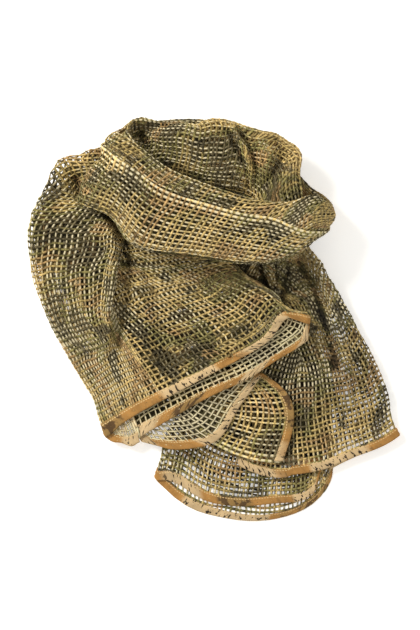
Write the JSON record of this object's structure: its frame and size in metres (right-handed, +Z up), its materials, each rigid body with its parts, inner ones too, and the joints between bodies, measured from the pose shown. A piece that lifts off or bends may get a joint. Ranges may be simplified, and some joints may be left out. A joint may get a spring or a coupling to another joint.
{
  "type": "camouflage net veil scarf",
  "caption": "Open-mesh camouflage net veil wound as a neck scarf and laid out flat: a front band over a neck hollow, fanned tails and tape-bound hems.",
  "frame": {"origin": "middle of the outer box, on the surface that the veil lies on", "axes": "+Z up off the surface, +Y from the tails to the neck ring, +X to the right seen from above with the neck ring at the top"},
  "size_m": [0.4463, 0.4862, 0.0856],
  "materials": {
    "net": "matt open net of thick yarn in khaki, olive and dark brown",
    "binding": "matt woven tape in coyote tan and sand"
  },
  "bodies": {
    "root": {"net_veil": "net", "hem_binding_left": "binding", "hem_binding_right": "binding"}
  },
  "joints": []
}
